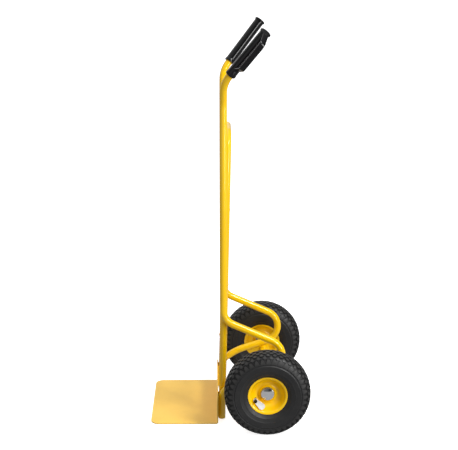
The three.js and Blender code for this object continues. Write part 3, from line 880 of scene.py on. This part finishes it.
def build_hub(side, sign):
    h = HUB
    seat_depth = 10.3
    profile = [
        (h["inboard"], h["seat"]),
        (h["inboard"] + seat_depth, h["seat"]),
        (h["inboard"] + seat_depth, h["bore"]),
        (h["outboard"] - seat_depth, h["bore"]),
        (h["outboard"] - seat_depth, h["seat"]),
        (h["outboard"], h["seat"]),
        (h["outboard"], h["outer"]),
        (h["inboard"], h["outer"]),
    ]
    hub = lathe(f"{side}_turned_hub", rounded_loop(profile, 0.5), sign, 72)
    finish_piece(hub, f"{side}_wheel", [f"{side}_hub"], BARE_STEEL)
    for place, start in (("outer", h["outboard"] - 10), ("inner", h["inboard"])):
        step = 0.6  # the seal sits a little inside the two races
        ring = [
            (start, 10.3),
            (start, 12.4),
            (start + step, 12.8),
            (start + step, 15.2),
            (start, 15.6),
            (start, 17.5),
            (start + 10, 17.5),
            (start + 10, 15.6),
            (start + 10 - step, 15.2),
            (start + 10 - step, 12.8),
            (start + 10, 12.4),
            (start + 10, 10.3),
        ]
        bearing = lathe(f"{side}_{place}_ball_bearing", rounded_loop(ring, 0.25, 2), sign, 64)
        finish_piece(bearing, f"{side}_wheel", [f"{side}_{place}_bearing"], BARE_STEEL)


def valve_centre():
    return VALVE_SEAT * math.cos(VALVE_ANGLE), -VALVE_SEAT * math.sin(VALVE_ANGLE)


def build_valve(side, sign):
    """Black rubber stem through the dish and a ribbed dust cap."""
    y, z = valve_centre()
    centre = (sign * y, z)
    end = VALVE_OUTER
    stem = [(6, 0), (6, 4.1), (end - 3, 4.1), (end - 2.4, 3.7), (end - 0.4, 3.7), (end, 3.3), (end, 0)]
    piece = lathe(f"{side}_rubber_valve_stem", stem, sign, 40, centre, closed=False)
    finish_piece(piece, f"{side}_wheel", [f"{side}_valve_stem"], VALVE_RUBBER)
    start = end + 0.3
    cap = [(start, 0), (start, 4.6), (start + 0.6, 5), (start + 6.4, 5), (start + 8.2, 4.3)]
    cap += [(start + 9.2, 3.2), (start + 9.5, 0)]

    def ribs(x, radius, angle):
        return radius - 0.3 * (radius > 4.5) * (0.5 + 0.5 * math.cos(14 * angle))

    piece = lathe(f"{side}_ribbed_valve_cap", cap, sign, 84, centre, closed=False, radius_at=ribs)
    finish_piece(piece, f"{side}_wheel", [f"{side}_valve_cap"], GRIP_PLASTIC)


def build_axle_fittings(side, sign):
    bore = AXLE_RADIUS + 0.3
    sleeve_from = SIDE_X + BRACKET_THICK / 2 + 0.3 - WHEEL_X
    sleeve_to = HUB["inboard"] - 2.6
    inner_from, outer_from = sleeve_to + 0.3, HUB["outboard"] + 0.3
    inner_to, outer_to = sleeve_to + 2.3, HUB["outboard"] + 2.3
    parts = (
        ("spacer_tube", "spacer_sleeve", sleeve_from, sleeve_to, 12, "frame_paint", FRAME_PAINT),
        ("inner_thrust_washer", "inner_washer", inner_from, inner_to, 16, "bare_steel", BARE_STEEL),
        ("outer_thrust_washer", "outer_washer", outer_from, outer_to, 16, "bare_steel", BARE_STEEL),
    )
    for name, node, start, end, outer, slot, material in parts:
        ring = rounded_loop([(start, bore), (end, bore), (end, outer), (start, outer)], 0.4)
        finish_piece(lathe(f"{side}_{name}", ring, sign, 64), "frame", [f"{side}_{node}"], material)
    back, depth = HUB["outboard"] + 2.6, AXLE_END - WHEEL_X + 0.3
    rise, brim = 3.3, 17.6
    dome = [(CAP_FRONT - rise * (k / 12) ** 2, brim * k / 12) for k in range(13)]
    profile = [(depth, 0), (depth, bore), (back, bore), (back, 18.8), (back + 0.4, CAP_RADIUS)]
    profile += [(15.7, CAP_RADIUS), (16.3, 19.0), (16.6, 18.4)] + dome[::-1]
    cap = lathe(f"{side}_domed_cap", profile, sign, 96, closed=False)
    finish_piece(cap, "frame", [f"{side}_axle_cap"], CAP_CHROME)


def build_tag(side, sign):
    """A blank card tag: a hole over the stem, a narrow neck and a round body, slightly curled."""
    y, z = valve_centre()
    lean, slope, length, neck, body = 0.876, 0.3, 25, 6.2, 10
    outline = arc((0, 0), neck, 0, 180, 14) + arc((0, -length), body, 180, 360, 22)
    hole = arc((0, 0), 4.7, 0, 360, len(outline) - 1)
    rings = []
    count = len(outline)
    for face in (0, 0.5):
        for loop in (outline, hole):
            for a, b in loop:
                curl = 0.7 * (a / body) ** 2
                rings.append((21.4 + face + curl - b * math.sin(slope), a, b * math.cos(slope)))
    verts = []
    for x, a, b in rings:
        ty = y + a * math.cos(lean) - b * math.sin(lean)
        tz = z + a * math.sin(lean) + b * math.cos(lean)
        verts.append((sign * (WHEEL_X + x), AXLE_Y + sign * ty, AXLE_Z + tz))
    faces = []
    for i in range(count):
        k = (i + 1) % count
        for outer, inner in ((0, count), (2 * count, 3 * count)):
            faces.append((outer + i, outer + k, inner + k, inner + i))
        for loop in (0, count):
            faces.append((loop + i, loop + k, loop + 2 * count + k, loop + 2 * count + i))
    tag = new_object(f"{side}_blank_tag", verts, faces, 40)
    finish_piece(tag, f"{side}_wheel", [f"{side}_valve_tag"], TAG_CARD)


def finish_inner_tube(side):
    """The inner tube is hidden in the tyre; its solid stays and only gets its rubber."""
    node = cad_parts[f"{side}_inner_tube"]
    node.data.materials.clear()
    node.data.materials.append(TUBE_RUBBER)


# ---- Studio ----
def build_floor():
    """White paper that only the camera sees; its bounced light comes from the world's lower half."""
    size = 30000
    corners = [(-size, -size, 0), (size, -size, 0), (size, size, 0), (-size, size, 0)]
    floor = new_object("studio_floor", corners, [(0, 1, 2, 3)])
    paper = Finish("studio_paper", Emission_Color=(1, 1, 1, 1), Emission_Strength=0.82, Roughness=0.9)
    fibre = paper.spread(paper.noise(160, 4, 0.6), 0.3, 0.7, 0, 1)
    paper.use("Base Color", paper.blend(fibre, (0.80, 0.80, 0.80), (0.77, 0.77, 0.77)))
    paper.shader.inputs["Specular IOR Level"].default_value = 0.1
    floor.data.materials.append(paper.material)
    floor.visible_diffuse = floor.visible_glossy = floor.visible_shadow = False


def build_world():
    """A studio sweep: pale on the far side and in front, dim elsewhere, grey below, with a lit ceiling.

    The camera itself sees white in every direction.
    """
    world = bpy.data.worlds.new("studio")
    bpy.context.scene.world = world
    world.use_nodes = True
    tree = world.node_tree
    separate = tree.nodes.new("ShaderNodeSeparateXYZ")
    tree.links.new(tree.nodes.new("ShaderNodeTexCoord").outputs["Generated"], separate.inputs["Vector"])

    def ramp(axis, low, high, first, second):
        node = tree.nodes.new("ShaderNodeMapRange")
        node.interpolation_type = "SMOOTHSTEP"
        for socket, value in zip(node.inputs[1:5], (low, high, first, second)):
            socket.default_value = value
        tree.links.new(separate.outputs[axis], node.inputs["Value"])
        return node

    backdrop = ramp("X", -0.50, 0.10, 0.95, 0.13)
    front_side = ramp("Y", -0.05, 0.40, 1.0, 0.12)
    room = tree.nodes.new("ShaderNodeMath")
    room.operation = "MULTIPLY"
    tree.links.new(backdrop.outputs["Result"], room.inputs[0])
    tree.links.new(front_side.outputs["Result"], room.inputs[1])
    ceiling = ramp("Z", 0.35, 1.0, 0.0, 0.75)
    above = tree.nodes.new("ShaderNodeMath")
    tree.links.new(room.outputs["Value"], above.inputs[0])
    tree.links.new(ceiling.outputs["Result"], above.inputs[1])
    ground = ramp("Z", -0.03, 0.01, 0.42, 0.0)
    sky = ramp("Z", -0.03, 0.01, 0.0, 1.0)
    lit = tree.nodes.new("ShaderNodeMath")
    lit.operation = "MULTIPLY"
    tree.links.new(above.outputs["Value"], lit.inputs[0])
    tree.links.new(sky.outputs["Result"], lit.inputs[1])
    total = tree.nodes.new("ShaderNodeMath")
    tree.links.new(lit.outputs["Value"], total.inputs[0])
    tree.links.new(ground.outputs["Result"], total.inputs[1])
    seen = tree.nodes.new("ShaderNodeMath")  # a low view meets white paper behind the floor's end
    tree.links.new(total.outputs["Value"], seen.inputs[0])
    tree.links.new(tree.nodes.new("ShaderNodeLightPath").outputs["Is Camera Ray"], seen.inputs[1])
    tree.links.new(seen.outputs["Value"], tree.nodes["Background"].inputs["Color"])


def area_light(name, place, aim, size, power):
    light = bpy.data.lights.new(name, "AREA")
    light.shape = "RECTANGLE"
    light.size, light.size_y = size
    light.energy = power
    obj = bpy.data.objects.new(name, light)
    obj.location = place
    obj.rotation_euler = (Vector(aim) - Vector(place)).to_track_quat("-Z", "Y").to_euler()
    bpy.context.collection.objects.link(obj)


def build_lights():
    area_light("key_softbox", (2.28, 2.62, 4.08), (0.1, 0.05, 0.35), (1.35, 1.35), 168)
    area_light("strip_softbox", (1.95, 1.85, 1.0), (0.1, 0.05, 0.6), (0.45, 1.9), 40)
    area_light("fill_softbox", (2.6, -2.6, 1.3), (0.1, 0, 0.5), (3.0, 3.0), 10)


def build_camera():
    """Level sideways, from the left side of the truck and a little above it."""
    pitch, turn = math.radians(14.76), math.radians(0.6)
    pivot_x, pivot_y = 0.18, 0.0002  # the camera swings about the truck's near side
    distance, height = 3.1717, 1.4725
    camera = bpy.data.cameras.new("camera")
    camera.lens = 87.90
    camera.sensor_width = 36
    camera.clip_end = 100
    obj = bpy.data.objects.new("camera", camera)
    obj.location = (pivot_x + distance * math.cos(turn), pivot_y - distance * math.sin(turn), height)
    obj.rotation_euler = (math.pi / 2 - pitch, 0, math.pi / 2 - turn)
    bpy.context.collection.objects.link(obj)
    bpy.context.scene.camera = obj
    bpy.context.scene.view_settings.view_transform = "Standard"


build_camera()
build_floor()
build_world()
build_lights()
build_tubes()
build_welds()
build_toe_plate()
build_brackets()
build_axle()
build_grips()
for side, sign in SIDES:
    build_tyre(side, sign)
    build_rim(side, sign, "outer", 1)
    build_rim(side, sign, "inner", -1)
    build_hub(side, sign)
    build_valve(side, sign)
    build_tag(side, sign)
    build_axle_fittings(side, sign)
    finish_inner_tube(side)
